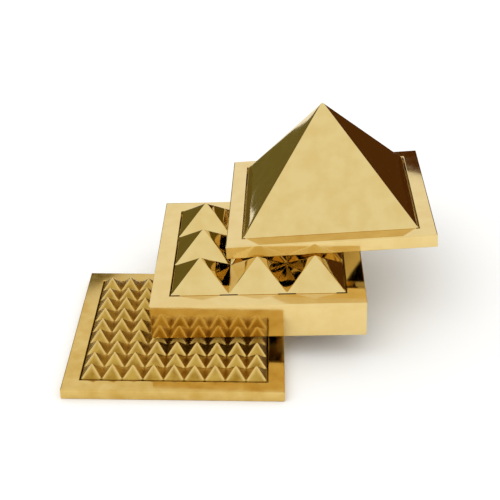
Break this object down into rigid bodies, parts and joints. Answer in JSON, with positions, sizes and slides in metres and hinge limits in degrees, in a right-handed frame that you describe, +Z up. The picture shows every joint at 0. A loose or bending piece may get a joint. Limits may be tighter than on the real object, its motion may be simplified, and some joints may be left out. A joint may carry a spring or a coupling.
{
  "type": "vastu pyramid",
  "caption": "Polished brass vastu pyramid: loose square plates covered with pyramids, stacked in an open, slightly tilted staircase.",
  "frame": {"origin": "centre of the whole set's outline, on the surface that it stands on", "axes": "+X to the right along the lower plate's front edge, +Y away from the front, +Z up"},
  "size_m": [0.0866, 0.0808, 0.0484],
  "materials": {
    "polished_brass": "polished plate frames",
    "polished_pyramids": "polished, slightly wavy pyramid faces",
    "cast_brass": "rough small pyramids as cast, bright on their ridges"
  },
  "bodies": {
    "lower_plate": {"lower_frame": "polished_brass", "lower_pyramid_sheet": "cast_brass"},
    "middle_plate": {"middle_frame": "polished_brass", "middle_pyramid_sheet": "polished_pyramids"},
    "upper_plate": {"upper_frame": "polished_brass", "upper_pyramid": "polished_pyramids"}
  },
  "joints": [
    {"name": "middle_lift", "type": "slide", "parent": "lower_plate", "child": "middle_plate", "axis": [0, 0, 1], "range_m": [0, 0.03]},
    {"name": "upper_lift", "type": "slide", "parent": "middle_plate", "child": "upper_plate", "axis": [0, 0, 1], "range_m": [0, 0.03]}
  ]
}
